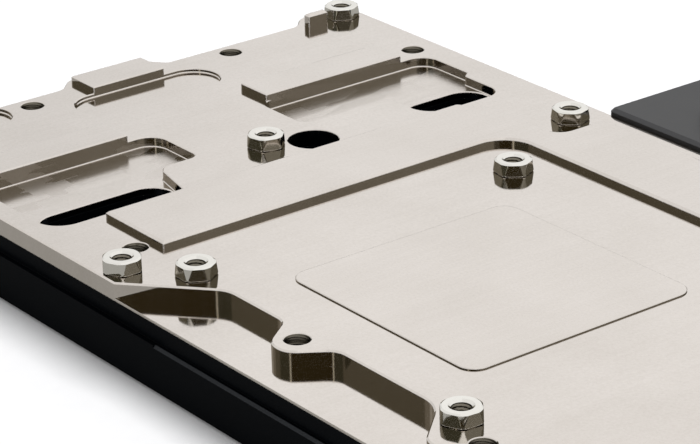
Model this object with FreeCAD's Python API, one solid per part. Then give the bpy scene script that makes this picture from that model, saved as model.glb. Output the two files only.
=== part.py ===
import FreeCAD, Part
import math
import os
from FreeCAD import Vector

# Full-cover liquid cooling cold plate for a graphics card, in millimetres.
#
# Frame: the origin is the centre of the processor contact pad, on its face.
# +Z leaves the component side, +X runs along the card and +Y points to the
# port terminal. The assembly lies on the flat face of its cover.

# ---- levels of the copper plate, along Z -----------------------------------
PAD_HEIGHT = 0.25
RAIL_HEIGHT = 1.0
STOP_HEIGHT = 2.0
POCKET_DEPTH = 1.5
COIL_DEPTH = 0.6
NOTCH_DEPTH = 0.7
SHELF_DEPTH = 2.2
PLATE_THICKNESS = 2.6
PLATE_BEVEL = 0.3
SCALLOP_BEVEL = 0.2
PAD_BEVEL = 0.1
RIM_BREAK = 0.12
FOOT_COVE = 0.1

FLOOR = -PAD_HEIGHT
RAIL_TOP = FLOOR + RAIL_HEIGHT
STOP_TOP = FLOOR + STOP_HEIGHT
POCKET_FLOOR = FLOOR - POCKET_DEPTH
SHELF = FLOOR - SHELF_DEPTH
SEAT = FLOOR - PLATE_THICKNESS

# ---- outline of plate and cover, seen from above ----------------------------
SLOT_SIDE_Y = -36.1
PORT_SIDE_Y = 51.0
REAR_X = -94.3
REAR_UPPER_X = -93.6
EAR_X = -96.9
EAR_LOW_Y = -0.9
EAR_HIGH_Y = 12.4
CORNER_EAR_X = -96.4
CORNER_EAR_Y = 42.0
FRONT_X = 78.0
OUTLINE_CORNER = 2.0
REAR_CORNER = 3.8
EAR_SWEEP = 2.6

# ---- scalloped edge on the slot side -----------------------------------------
SCALLOP_Y = -26.3
SCALLOP_START_X = -31.4
SCALLOP_END_X = 69.0
SCALLOP_RUN_IN = 11.2
SCALLOP_CORNER = 4.0
SMALL_BOSS_Y = -31.5
SMALL_BOSS_LEFT = (-8.2, -4.4)
SMALL_BOSS_RIGHT = (-1.0, 2.7)
LARGE_BOSS_Y = -33.0
LARGE_BOSS_LEFT = (21.8, 27.8)
LARGE_BOSS_RIGHT = (34.9, 37.0)
BOSS_TIP = 3.0
BOSS_SWEEP = 6.0
BOSS_EXIT = 2.8

# ---- processor pad, memory rail and raised pads -------------------------------
DIE_PAD_X = 36.6
DIE_PAD_Y = 36.5
DIE_PAD_CORNER = 2.5
RAIL_INNER_X = -35.95
RAIL_OUTER_X = -49.5
RAIL_FRONT_INNER_X = 50.0
RAIL_FOOT_Y = -25.3
RAIL_INNER_Y = 33.6
RAIL_OUTER_Y = 47.2
RAIL_SHOULDER_Y = 35.3
RAIL_NOTCH_Y = 38.5
RAIL_NOTCH_X = -31.0
RAIL_SLANT_X = -45.0
RAIL_INNER_CORNER = 5.0
REGULATOR_PAD_WIDTH = 6.3
REGULATOR_PAD_LOW = (-33.0, -7.7)
REGULATOR_PAD_HIGH = (16.7, 41.8)
EAR_PAD_X = (-95.9, -89.8)
EAR_PAD_Y = (-0.8, 11.7)
STOP_X = (-93.0, -91.8)
STOP_Y = (40.5, 44.1)

# ---- pockets and through slots beside the regulators ---------------------------
POCKET_LEFT_X = -70.6
POCKET_INNER_X = -59.6
POCKET_RIGHT_X = -50.7
POCKET_CORNER = 2.2
POCKET_END_CORNER = 3.0
STEP_CORNER = 1.5
SLOT_CORNER = 3.9
LOW_POCKET_Y = (-33.0, -3.1)
LOW_POCKET_STEP = (-11.75, -9.85)
HIGH_POCKET_Y = (15.4, 46.5)
HIGH_POCKET_STEP = (31.0, 45.25)
SLOT_X = -54.6
SLOT_RADIUS = 3.6
LOW_SLOT_Y = (-32.1, -11.3)
HIGH_SLOT_Y = (31.3, 45.0)
ROUND_HOLE = (-54.15, 12.9, 3.65)
SLOT_CLEARANCE_DEPTH = 4.0
COIL_RECESS_X = -85.4
COIL_RECESS_RADIUS = 4.4
COIL_RECESS_Y = (-6.2, 18.0)
EDGE_NOTCH_X = -92.3
EDGE_NOTCH_RADIUS = 4.3
EDGE_NOTCH_Y = (-30.0, -14.2)

# ---- micro-fins under the processor pad ------------------------------------------
FIN_BLOCK_X = 34.0
FIN_BLOCK_Y = 33.0
FIN_HEIGHT = 3.1
FIN_BLOCK_DROP = 2.0
FIN_PITCH = 1.1
FIN_GAP = 0.5
FIN_TIPS = SEAT - FIN_BLOCK_DROP

# ---- cover -------------------------------------------------------------------------
COVER_THICKNESS = 10.15
COVER_BOTTOM = SEAT - COVER_THICKNESS
COVER_BEVEL = 0.5
REBATE_HEIGHT = 3.2
REBATE_SET_BACK = 0.8
REBATE_END_Y = 44.0
EDGE_BREAK = 0.35
EDGE_BREAK_X = -23.0
CHANNEL_FLOOR = FIN_TIPS
CHANNEL_GPU_X = (-45.0, 46.0)
CHANNEL_GPU_Y = (-19.5, 36.0)
CHANNEL_VRM_X = (-84.5, -62.0)
CHANNEL_VRM_Y = (-24.0, 38.0)
CHANNEL_NECK_Y = (-6.0, 5.0)
CHANNEL_CORNER = 5.0
NECK_CORNER = 4.2
GASKET_LAND = 0.9
GASKET_WIDTH = 2.2
GASKET_DEPTH = 1.6
GASKET_SIDE_CLEARANCE = 0.1
RIB_WIDTH = 1.6
RIB_PATH = ((9.0, 36.0), (9.0, 20.5), (-36.0, 20.5), (-36.0, -0.5), (-79.0, -0.5))
TROUGH_DEPTH = 5.2
TROUGH_CORNER = 2.0
OUTLET_WELL_X = (-20.5, -12.5)
OUTLET_WELL_Y = (26.5, 34.0)

# ---- jet plate -----------------------------------------------------------------------
JET_THICKNESS = 0.8
JET_SLOT_WIDTH = 1.4
JET_SLOT_LENGTH = 28.0
JET_MARGIN = 1.6
JET_SIDE_CLEARANCE = 0.15
JET_CORNER = 1.5
JET_CHAMBER_X = 3.5
JET_CHAMBER_Y = 15.0
FEED_LOW_Y = 6.0
FEED_HALF_WIDTH = 3.5
FEED_END_Y = 33.6

# ---- M4 cap screws ------------------------------------------------------------------------
SCREW_RADIUS = 2.0
SCREW_CLEARANCE_HOLE = 2.25
TAP_RADIUS = 1.7
THREAD_CLEARANCE = 0.05
HEAD_RADIUS = 3.5
HEAD_HEIGHT = 4.0
HEAD_SINK_RADIUS = 3.8
HEAD_SINK_DEPTH = 4.2
KEY_ACROSS = 3.0
KEY_DEPTH = 2.0
COVER_SCREW_LENGTH = 6.0
COVER_SINK_DEPTH = 5.2
TAP_MOUTH = 0.1
COVER_SCREW_END_INSET = 6.5
COVER_SCREW_END_X = FRONT_X - COVER_SCREW_END_INSET
COVER_SCREWS = (
    (-91.6, -10.4), (-90.9, 24.8), (-73.5, 46.5), (-38.9, -27.7), (-2.9, -28.2), (32.8, -28.6),
    (COVER_SCREW_END_X, -28.6), (COVER_SCREW_END_X, 6.0), (COVER_SCREW_END_X, 45.0), (0.0, 45.0),
    (-83.0, -31.4))

# ---- terminal and ports ----------------------------------------------------------------
TERMINAL_HALF_LENGTH = 34.1
TERMINAL_DEPTH = 27.0
TERMINAL_TOP = RAIL_TOP - 0.05
TERMINAL_CORNER = 0.8
TERMINAL_BEVEL = 0.5
TERMINAL_SCREW_BITE = 7.2
TERMINAL_TAP_SPARE = 1.2
TERMINAL_SCREW_LENGTH = TERMINAL_DEPTH - HEAD_SINK_DEPTH + TERMINAL_SCREW_BITE
TERMINAL_TAP_DEPTH = TERMINAL_SCREW_BITE + TERMINAL_TAP_SPARE
TERMINAL_SCREW_INSET = 5.6
TERMINAL_SCREW_OUTER = TERMINAL_HALF_LENGTH - TERMINAL_SCREW_INSET
TERMINAL_SCREW_WALL = 1.0  # between an inner tapped hole and the head sink of the middle cover screw
TERMINAL_SCREW_INNER = HEAD_SINK_RADIUS + TERMINAL_SCREW_WALL + TAP_RADIUS
TERMINAL_SCREW_X = (-TERMINAL_SCREW_OUTER, -TERMINAL_SCREW_INNER, TERMINAL_SCREW_INNER, TERMINAL_SCREW_OUTER)
PORT_SHIFT = 1.0  # each port stands this far inward of halfway between its two screws
PORT_X = (TERMINAL_SCREW_INNER + TERMINAL_SCREW_OUTER) / 2 - PORT_SHIFT
PORT_Y = PORT_SIDE_Y + TERMINAL_DEPTH / 2
PORT_RADIUS = 5.9
PORT_MOUTH = 0.6
PORT_DEPTH = 8.0
PORT_WEB_RADIUS = 4.6
FLOW_RADIUS = 2.8
FLOW_Z = -8.1
SEAL_INNER = 3.4
SEAL_SECTION = 1.1
SEAL_CLEARANCE = 0.1
PLUG_FLANGE_RADIUS = 8.6
PLUG_FLANGE_HEIGHT = 1.8
PLUG_STUB_LENGTH = 5.0
PLUG_THREAD_CLEARANCE = 0.08
PLUG_SEAL_INNER = 6.8
PLUG_SEAL_SECTION = 1.0
PLUG_KEY = 6.0
PLUG_KEY_DEPTH = 3.6

# ---- standoffs -------------------------------------------------------------------------------
STANDOFF_ACROSS = 5.3
STANDOFF_HEIGHT = 1.9
STANDOFF_CROWN_ANGLE = 20.0
STANDOFF_FACE_RIM = 0.15
STANDOFF_COLLAR = 0.15
STANDOFF_COLLAR_RADIUS = 2.5
STANDOFF_BORE = 1.25
STANDOFF_BORE_DEPTH = 1.85
STANDOFF_MOUTH = 0.27
SPIGOT_RADIUS = 2.0
SPIGOT_LENGTH = 2.0
SPIGOT_CLEARANCE = 0.05
GPU_SQUARE = 53.2
STANDOFFS = {
    "standoff_gpu_rear_low": (-GPU_SQUARE / 2, -GPU_SQUARE / 2, 0.0),
    "standoff_gpu_front_low": (GPU_SQUARE / 2, -GPU_SQUARE / 2, 24.0),
    "standoff_gpu_front_high": (GPU_SQUARE / 2, GPU_SQUARE / 2, 40.0),
    "standoff_gpu_rear_high": (-GPU_SQUARE / 2, GPU_SQUARE / 2, 52.0),
    "standoff_slot_side": (-34.2, -32.9, 27.0),
    "standoff_middle": (-56.6, 6.4, 14.0),
    "standoff_rear_corner": (-92.9, 47.7, 0.0),
    "standoff_port_side": (-36.1, 45.4, 46.0),
    "standoff_port_side_front": (50.1, 45.4, 12.0),
    "standoff_front": (72.4, -14.0, 30.0),
}


# ---- drawing helpers ---------------------------------------------------------------------------
def rounded_wire(corners, z):
    """Closed wire through (x, y, radius) corners, each rounded by its own radius."""
    count = len(corners)
    spans = []
    for index, (x, y, radius) in enumerate(corners):
        here = Vector(x, y, z)
        before = Vector(corners[index - 1][0], corners[index - 1][1], z)
        after = Vector(corners[(index + 1) % count][0], corners[(index + 1) % count][1], z)
        into = (here - before).normalize()
        out = (after - here).normalize()
        if radius == 0:
            spans.append((here, None, here))
            continue
        turn = math.acos(max(-1.0, min(1.0, into.dot(out))))
        reach = radius * math.tan(turn / 2)
        start = here - into * reach
        end = here + out * reach
        inward = (out - into).normalize()
        middle = here + inward * (radius / math.cos(turn / 2) - radius)
        spans.append((start, middle, end))
    edges = []
    for index, (start, middle, end) in enumerate(spans):
        if middle is not None:
            edges.append(Part.Arc(start, middle, end).toShape())
        following = spans[(index + 1) % count][0]
        if (following - end).Length > 1e-6:
            edges.append(Part.LineSegment(end, following).toShape())
    return Part.Wire(edges)


def prism(corners, low, high):
    """Straight prism over a rounded outline."""
    return Part.Face(rounded_wire(corners, low)).extrude(Vector(0, 0, high - low))


def bevelled_prism(corners, low, high, bevel):
    """Prism whose top rim has a bevel all round."""
    solid = prism(corners, low, high)
    rim = [edge for edge in solid.Edges if min(v.Z for v in edge.Vertexes) > high - 1e-6]
    return solid.makeChamfer(bevel, rim)


def rectangle(x_range, y_range, corner):
    """Corners of an upright rectangle with one corner radius."""
    (x0, x1), (y0, y1) = x_range, y_range
    return [(x0, y0, corner), (x1, y0, corner), (x1, y1, corner), (x0, y1, corner)]


def obround(x, radius, y_range):
    """Corners of a round-ended slot along Y."""
    return rectangle((x - radius, x + radius), y_range, radius)


def grown(corners, distance):
    """Corners of an anticlockwise outline moved outwards, with the radii that keep it parallel."""
    moved = []
    for index, (x, y, radius) in enumerate(corners):
        here = Vector(x, y, 0)
        before = Vector(corners[index - 1][0], corners[index - 1][1], 0)
        after = Vector(corners[(index + 1) % len(corners)][0], corners[(index + 1) % len(corners)][1], 0)
        into = (here - before).normalize()
        out = (after - here).normalize()
        outward = Vector(into.y + out.y, -into.x - out.x, 0)
        corner = here + outward * (distance / (1 + into.dot(out)))
        turns_left = into.cross(out).z > 0
        if radius > 0:
            radius = radius + distance if turns_left else radius - distance
        moved.append((corner.x, corner.y, radius))
    return moved


def flared_prism(corners, low, high, flare):
    """Cutter whose rim widens at the top, so that it leaves a broken edge."""
    narrow = rounded_wire(corners, high - flare)
    wide = rounded_wire(grown(corners, flare), high)
    return prism(corners, low, high - flare).fuse(Part.makeLoft([narrow, wide], True, True))


def pocket_cutter(corners, depth):
    """Cutter for a pocket from the floor of the plate, with a cove round its own floor."""
    low = FLOOR - depth
    base = rounded_wire(grown(corners, -FOOT_COVE), low)
    top = rounded_wire(corners, low + FOOT_COVE)
    foot = Part.makeLoft([base, top], True, True)
    return flared_prism(corners, low + FOOT_COVE, FLOOR, RIM_BREAK).fuse(foot)


def cylinder(x, y, radius, low, high):
    """Upright cylinder between two levels."""
    return Part.makeCylinder(radius, high - low, Vector(x, y, low))


def cylinder_y(x, z, radius, near, far):
    """Cylinder along Y between two places."""
    return Part.makeCylinder(radius, far - near, Vector(x, near, z), Vector(0, 1, 0))


def box(x_range, y_range, z_range):
    """Box between three pairs of limits."""
    corner = Vector(x_range[0], y_range[0], z_range[0])
    return Part.makeBox(x_range[1] - x_range[0], y_range[1] - y_range[0], z_range[1] - z_range[0], corner)


def hexagon(across, low, high, turn=0.0):
    """Upright hexagonal prism on the Z axis."""
    points = []
    for side in range(6):
        angle = math.radians(turn + 60 * side)
        points.append((across / math.sqrt(3) * math.cos(angle), across / math.sqrt(3) * math.sin(angle), 0))
    return prism(points, low, high)


def mouth(x, y, radius, width, level):
    """Cone that breaks the edge of a hole at an upward face."""
    return Part.makeCone(radius, radius + width, width, Vector(x, y, level - width))


def one_solid(shape):
    """The single clean solid of a finished piece."""
    solids = shape.removeSplitter().Solids
    if len(solids) != 1:
        raise ValueError("a piece came apart into %d solids" % len(solids))
    return solids[0]


# ---- outlines -------------------------------------------------------------------------------------
def rear_and_port_side():
    """Corners of the outline from the front corner round to the rear corner."""
    return [
        (FRONT_X, PORT_SIDE_Y, OUTLINE_CORNER),
        (CORNER_EAR_X, PORT_SIDE_Y, REAR_CORNER),
        (CORNER_EAR_X, CORNER_EAR_Y, EAR_SWEEP),
        (REAR_UPPER_X, CORNER_EAR_Y - EAR_SWEEP, EAR_SWEEP),
        (REAR_UPPER_X, EAR_HIGH_Y + EAR_SWEEP, 1.2),
        (EAR_X, EAR_HIGH_Y, 1.2),
        (EAR_X, EAR_LOW_Y, 1.2),
        (REAR_X, EAR_LOW_Y - EAR_SWEEP, EAR_SWEEP),
        (REAR_X, SLOT_SIDE_Y, OUTLINE_CORNER),
    ]


def plate_outline():
    """Corners of the full plate outline, as it is at the lip under the scallops."""
    return [(FRONT_X, SLOT_SIDE_Y, OUTLINE_CORNER)] + rear_and_port_side()


def cover_outline():
    """Corners of the cover, straight at the rear so that the screw heads stay inside."""
    return [
        (FRONT_X, SLOT_SIDE_Y, OUTLINE_CORNER), (FRONT_X, PORT_SIDE_Y, OUTLINE_CORNER),
        (EAR_X, PORT_SIDE_Y, REAR_CORNER), (EAR_X, SLOT_SIDE_Y, OUTLINE_CORNER),
    ]


def scalloped_outline():
    """Corners of the plate above its shelf, cut back in scallops between bosses."""
    scallops = [
        (SCALLOP_START_X, SLOT_SIDE_Y, 0),
        (SCALLOP_START_X + SCALLOP_RUN_IN, SCALLOP_Y, SCALLOP_CORNER),
        (SMALL_BOSS_LEFT[0], SCALLOP_Y, BOSS_EXIT),
        (SMALL_BOSS_LEFT[1], SMALL_BOSS_Y, BOSS_TIP),
        (SMALL_BOSS_RIGHT[0], SMALL_BOSS_Y, BOSS_TIP),
        (SMALL_BOSS_RIGHT[1], SCALLOP_Y, BOSS_EXIT),
        (LARGE_BOSS_LEFT[0], SCALLOP_Y, BOSS_SWEEP),
        (LARGE_BOSS_LEFT[1], LARGE_BOSS_Y, BOSS_TIP),
        (LARGE_BOSS_RIGHT[0], LARGE_BOSS_Y, BOSS_TIP),
        (LARGE_BOSS_RIGHT[1], SCALLOP_Y, BOSS_EXIT),
        (SCALLOP_END_X - SCALLOP_RUN_IN, SCALLOP_Y, SCALLOP_CORNER),
        (SCALLOP_END_X, SLOT_SIDE_Y, 0),
        (FRONT_X, SLOT_SIDE_Y, OUTLINE_CORNER),
    ]
    return scallops + rear_and_port_side()


def rail_outline():
    """Corners of the raised memory rail: two bars joined along the port side."""
    mirror = RAIL_INNER_X + RAIL_FRONT_INNER_X
    rear_half = [
        (RAIL_NOTCH_X, RAIL_OUTER_Y, 1.5),
        (RAIL_NOTCH_X, RAIL_NOTCH_Y, 2.6),
        (RAIL_SLANT_X, RAIL_NOTCH_Y, 1.5),
        (RAIL_OUTER_X, RAIL_SHOULDER_Y, 0.8),
        (RAIL_OUTER_X, RAIL_FOOT_Y, 0),
        (RAIL_INNER_X, RAIL_FOOT_Y, 0),
        (RAIL_INNER_X, RAIL_INNER_Y, RAIL_INNER_CORNER),
    ]
    front_half = [(mirror - x, y, radius) for x, y, radius in reversed(rear_half)]
    return rear_half + front_half


def low_pocket_outline():
    """Corners of the lower regulator pocket with its slanted step to the slot."""
    low, high = LOW_POCKET_Y
    step_low, step_high = LOW_POCKET_STEP
    return [
        (POCKET_LEFT_X, low, POCKET_CORNER),
        (POCKET_RIGHT_X, low, SLOT_CORNER),
        (POCKET_RIGHT_X, step_low, STEP_CORNER),
        (POCKET_INNER_X, step_high, POCKET_CORNER),
        (POCKET_INNER_X, high, STEP_CORNER),
        (POCKET_LEFT_X, high, POCKET_END_CORNER),
    ]


def high_pocket_outline():
    """Corners of the upper regulator pocket with its side bay for the slot."""
    low, high = HIGH_POCKET_Y
    bay_low, bay_high = HIGH_POCKET_STEP
    return [
        (POCKET_LEFT_X, low, POCKET_CORNER),
        (POCKET_INNER_X, low, POCKET_CORNER),
        (POCKET_INNER_X, bay_low, 1.2),
        (POCKET_RIGHT_X, bay_low, SLOT_CORNER),
        (POCKET_RIGHT_X, bay_high, POCKET_END_CORNER),
        (POCKET_INNER_X, bay_high, 0.8),
        (POCKET_INNER_X - 0.9, high, 0.8),
        (POCKET_LEFT_X, high, POCKET_END_CORNER),
    ]


def channel_outline():
    """Corners of the wetted area: processor chamber, neck and regulator chamber."""
    gpu_left, gpu_right = CHANNEL_GPU_X
    gpu_low, gpu_high = CHANNEL_GPU_Y
    vrm_left, vrm_right = CHANNEL_VRM_X
    vrm_low, vrm_high = CHANNEL_VRM_Y
    neck_low, neck_high = CHANNEL_NECK_Y
    return [
        (gpu_right, gpu_low, CHANNEL_CORNER), (gpu_right, gpu_high, CHANNEL_CORNER),
        (gpu_left, gpu_high, CHANNEL_CORNER), (gpu_left, neck_high, NECK_CORNER),
        (vrm_right, neck_high, NECK_CORNER), (vrm_right, vrm_high, CHANNEL_CORNER),
        (vrm_left, vrm_high, CHANNEL_CORNER), (vrm_left, vrm_low, CHANNEL_CORNER),
        (vrm_right, vrm_low, CHANNEL_CORNER), (vrm_right, neck_low, NECK_CORNER),
        (gpu_left, neck_low, NECK_CORNER), (gpu_left, gpu_low, CHANNEL_CORNER),
    ]


def trough_outline():
    """Corners of the feed trough from the inlet bore to the jet slot."""
    left, right = PORT_X - FEED_HALF_WIDTH, PORT_X + FEED_HALF_WIDTH
    return [
        (-JET_CHAMBER_X, -JET_CHAMBER_Y, TROUGH_CORNER), (JET_CHAMBER_X, -JET_CHAMBER_Y, TROUGH_CORNER),
        (JET_CHAMBER_X, FEED_LOW_Y, TROUGH_CORNER), (right, FEED_LOW_Y, TROUGH_CORNER),
        (right, FEED_END_Y, TROUGH_CORNER), (left, FEED_END_Y, TROUGH_CORNER),
        (left, JET_CHAMBER_Y, TROUGH_CORNER), (-JET_CHAMBER_X, JET_CHAMBER_Y, TROUGH_CORNER),
    ]


def jet_outline():
    """Corners of the jet plate, which covers the fins and the feed trough."""
    half_x = FIN_BLOCK_X / 2
    half_y = FIN_BLOCK_Y / 2
    right = PORT_X + FEED_HALF_WIDTH + JET_MARGIN
    left = PORT_X - FEED_HALF_WIDTH - JET_MARGIN
    return [
        (-half_x, -half_y, JET_CORNER), (right, -half_y, JET_CORNER),
        (right, FEED_END_Y + JET_MARGIN, JET_CORNER), (left, FEED_END_Y + JET_MARGIN, JET_CORNER),
        (left, half_y, JET_CORNER), (-half_x, half_y, JET_CORNER),
    ]


# ---- copper plate -------------------------------------------------------------------------------
def raised_features():
    """Pad, rail and stop, which stand clear of the pockets."""
    pad_x = (-DIE_PAD_X / 2, DIE_PAD_X / 2)
    pad_y = (-DIE_PAD_Y / 2, DIE_PAD_Y / 2)
    return [
        bevelled_prism(rectangle(pad_x, pad_y, DIE_PAD_CORNER), FLOOR, 0.0, PAD_BEVEL),
        bevelled_prism(rail_outline(), FLOOR, RAIL_TOP, PLATE_BEVEL),
        bevelled_prism(rectangle(STOP_X, STOP_Y, 0), FLOOR, STOP_TOP, PLATE_BEVEL),
    ]


def flush_pads():
    """Pads whose inner wall runs straight on into the wall of a pocket."""
    regulator_x = (POCKET_LEFT_X - REGULATOR_PAD_WIDTH, POCKET_LEFT_X)
    foot = FLOOR - RIM_BREAK
    return [
        bevelled_prism(rectangle(regulator_x, REGULATOR_PAD_LOW, 0), foot, RAIL_TOP, PLATE_BEVEL / 2),
        bevelled_prism(rectangle(regulator_x, REGULATOR_PAD_HIGH, 0), foot, RAIL_TOP, PLATE_BEVEL / 2),
        bevelled_prism(rectangle(EAR_PAD_X, EAR_PAD_Y, 0), foot, RAIL_TOP, PLATE_BEVEL / 2),
    ]


def plate_cuts():
    """Pockets, slots, recesses and holes milled into the plate."""
    cuts = [
        pocket_cutter(low_pocket_outline(), POCKET_DEPTH),
        pocket_cutter(high_pocket_outline(), POCKET_DEPTH),
        flared_prism(obround(SLOT_X, SLOT_RADIUS, LOW_SLOT_Y), SEAT, POCKET_FLOOR, RIM_BREAK),
        flared_prism(obround(SLOT_X, SLOT_RADIUS, HIGH_SLOT_Y), SEAT, POCKET_FLOOR, RIM_BREAK),
        cylinder(ROUND_HOLE[0], ROUND_HOLE[1], ROUND_HOLE[2], SEAT, FLOOR),
        mouth(ROUND_HOLE[0], ROUND_HOLE[1], ROUND_HOLE[2], RIM_BREAK, FLOOR),
        pocket_cutter(obround(COIL_RECESS_X, COIL_RECESS_RADIUS, COIL_RECESS_Y), COIL_DEPTH),
        pocket_cutter(obround(EDGE_NOTCH_X, EDGE_NOTCH_RADIUS, EDGE_NOTCH_Y), NOTCH_DEPTH),
    ]
    for x, y in COVER_SCREWS:
        on_rail = RAIL_NOTCH_X < x < -RAIL_NOTCH_X and y > RAIL_INNER_Y
        level = RAIL_TOP if on_rail else FLOOR
        cuts.append(cylinder(x, y, TAP_RADIUS, SEAT, level))
        cuts.append(mouth(x, y, TAP_RADIUS, TAP_MOUTH, level))
    for x, y, _turn in STANDOFFS.values():
        spigot_floor = FLOOR - SPIGOT_LENGTH - SPIGOT_CLEARANCE
        cuts.append(cylinder(x, y, SPIGOT_RADIUS + SPIGOT_CLEARANCE, spigot_floor, FLOOR))
    return cuts


def fin_block():
    """Thick block under the processor pad, from which the fins are cut."""
    half_x = FIN_BLOCK_X / 2
    half_y = FIN_BLOCK_Y / 2
    return box((-half_x, half_x), (-half_y, half_y), (FIN_TIPS, SEAT))


def fin_gaps():
    """Slits along X that leave a row of thin fins in the block."""
    half_x = FIN_BLOCK_X / 2
    count = int((FIN_BLOCK_Y - FIN_PITCH + FIN_GAP) / FIN_PITCH)
    gaps = []
    for index in range(count):
        middle = (index - (count - 1) / 2) * FIN_PITCH
        span = (middle - FIN_GAP / 2, middle + FIN_GAP / 2)
        gaps.append(box((-half_x, half_x), span, (FIN_TIPS, FIN_TIPS + FIN_HEIGHT)))
    return gaps


def make_cold_plate():
    """Nickel plated copper plate with rails, pockets, scalloped shelf and micro-fins."""
    upper = bevelled_prism(scalloped_outline(), SHELF, FLOOR, SCALLOP_BEVEL)
    lip = prism(plate_outline(), SEAT, SHELF)
    plate = upper.fuse([lip, fin_block()] + raised_features())
    plate = plate.cut(plate_cuts() + fin_gaps())
    return one_solid(plate.fuse(flush_pads()))


# ---- cover ----------------------------------------------------------------------------------------
def flow_ribs():
    """Guide rib that sends the coolant through the regulator chamber."""
    half = RIB_WIDTH / 2
    ribs = []
    for (x0, y0), (x1, y1) in zip(RIB_PATH, RIB_PATH[1:]):
        x_range = (min(x0, x1) - half, max(x0, x1) + half)
        y_range = (min(y0, y1) - half, max(y0, y1) + half)
        ribs.append(box(x_range, y_range, (CHANNEL_FLOOR, SEAT)))
    return ribs


def make_cover():
    """Black acetal cover with channels, gasket groove, ports and screw sinks."""
    body = prism(cover_outline(), COVER_BOTTOM, SEAT)
    rim = [edge for edge in body.Edges if max(v.Z for v in edge.Vertexes) < COVER_BOTTOM + 1e-6]
    body = body.makeChamfer(COVER_BEVEL, rim)
    rebate_floor = SEAT - REBATE_HEIGHT
    band = prism(grown(cover_outline(), 1.0), rebate_floor, SEAT)
    band = band.cut(prism(grown(cover_outline(), -REBATE_SET_BACK), rebate_floor, SEAT))
    band = band.common(box((EAR_X - 5, FRONT_X + 5), (SLOT_SIDE_Y - 5, REBATE_END_Y), (rebate_floor, SEAT)))
    chamber = prism(channel_outline(), CHANNEL_FLOOR, SEAT).cut(flow_ribs())
    groove_inner = prism(grown(channel_outline(), GASKET_LAND), SEAT - GASKET_DEPTH, SEAT)
    groove_outer = prism(grown(channel_outline(), GASKET_LAND + GASKET_WIDTH), SEAT - GASKET_DEPTH, SEAT)
    trough_floor = CHANNEL_FLOOR - JET_THICKNESS - TROUGH_DEPTH
    cuts = [
        band,
        edge_break(rebate_floor),
        chamber,
        groove_outer.cut(groove_inner),
        prism(grown(jet_outline(), JET_SIDE_CLEARANCE), CHANNEL_FLOOR - JET_THICKNESS, CHANNEL_FLOOR),
        prism(trough_outline(), trough_floor, CHANNEL_FLOOR),
        prism(rectangle(OUTLET_WELL_X, OUTLET_WELL_Y, TROUGH_CORNER), trough_floor, CHANNEL_FLOOR),
        prism(obround(SLOT_X, SLOT_RADIUS, LOW_SLOT_Y), SEAT - SLOT_CLEARANCE_DEPTH, SEAT),
        prism(obround(SLOT_X, SLOT_RADIUS, HIGH_SLOT_Y), SEAT - SLOT_CLEARANCE_DEPTH, SEAT),
        cylinder(ROUND_HOLE[0], ROUND_HOLE[1], ROUND_HOLE[2], SEAT - SLOT_CLEARANCE_DEPTH, SEAT),
        cylinder_y(PORT_X, FLOW_Z, FLOW_RADIUS, FEED_END_Y - TROUGH_CORNER, PORT_SIDE_Y),
        cylinder_y(-PORT_X, FLOW_Z, FLOW_RADIUS, OUTLET_WELL_Y[1] - TROUGH_CORNER, PORT_SIDE_Y),
    ]
    for x, y in COVER_SCREWS:
        cuts.append(cylinder(x, y, SCREW_CLEARANCE_HOLE, COVER_BOTTOM, SEAT))
        cuts.append(cylinder(x, y, HEAD_SINK_RADIUS, COVER_BOTTOM, COVER_BOTTOM + COVER_SINK_DEPTH))
    for x in TERMINAL_SCREW_X:
        cuts.append(cylinder_y(x, FLOW_Z, TAP_RADIUS, PORT_SIDE_Y - TERMINAL_TAP_DEPTH, PORT_SIDE_Y))
    return one_solid(body.cut(cuts))


def edge_break(ledge):
    """Small bevel along the ledge of the cover on the slot side."""
    profile = Part.makePolygon([
        Vector(EDGE_BREAK_X, SLOT_SIDE_Y, ledge),
        Vector(EDGE_BREAK_X, SLOT_SIDE_Y + EDGE_BREAK, ledge),
        Vector(EDGE_BREAK_X, SLOT_SIDE_Y, ledge - EDGE_BREAK),
        Vector(EDGE_BREAK_X, SLOT_SIDE_Y, ledge),
    ])
    return Part.Face(profile).extrude(Vector(FRONT_X - OUTLINE_CORNER - EDGE_BREAK_X, 0, 0))


def make_main_gasket():
    """Flat-pressed sealing cord round the wetted area."""
    low = SEAT - GASKET_DEPTH
    inner = GASKET_LAND + GASKET_SIDE_CLEARANCE
    outer = GASKET_LAND + GASKET_WIDTH - GASKET_SIDE_CLEARANCE
    ring = prism(grown(channel_outline(), outer), low, SEAT)
    return one_solid(ring.cut(prism(grown(channel_outline(), inner), low, SEAT)))


def make_jet_plate():
    """Stainless plate with the slot that feeds the middle of the fins."""
    low = CHANNEL_FLOOR - JET_THICKNESS
    half = JET_SLOT_WIDTH / 2
    slot = obround(0.0, half, (-JET_SLOT_LENGTH / 2, JET_SLOT_LENGTH / 2))
    return one_solid(prism(jet_outline(), low, CHANNEL_FLOOR).cut(prism(slot, low, CHANNEL_FLOOR)))


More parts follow.
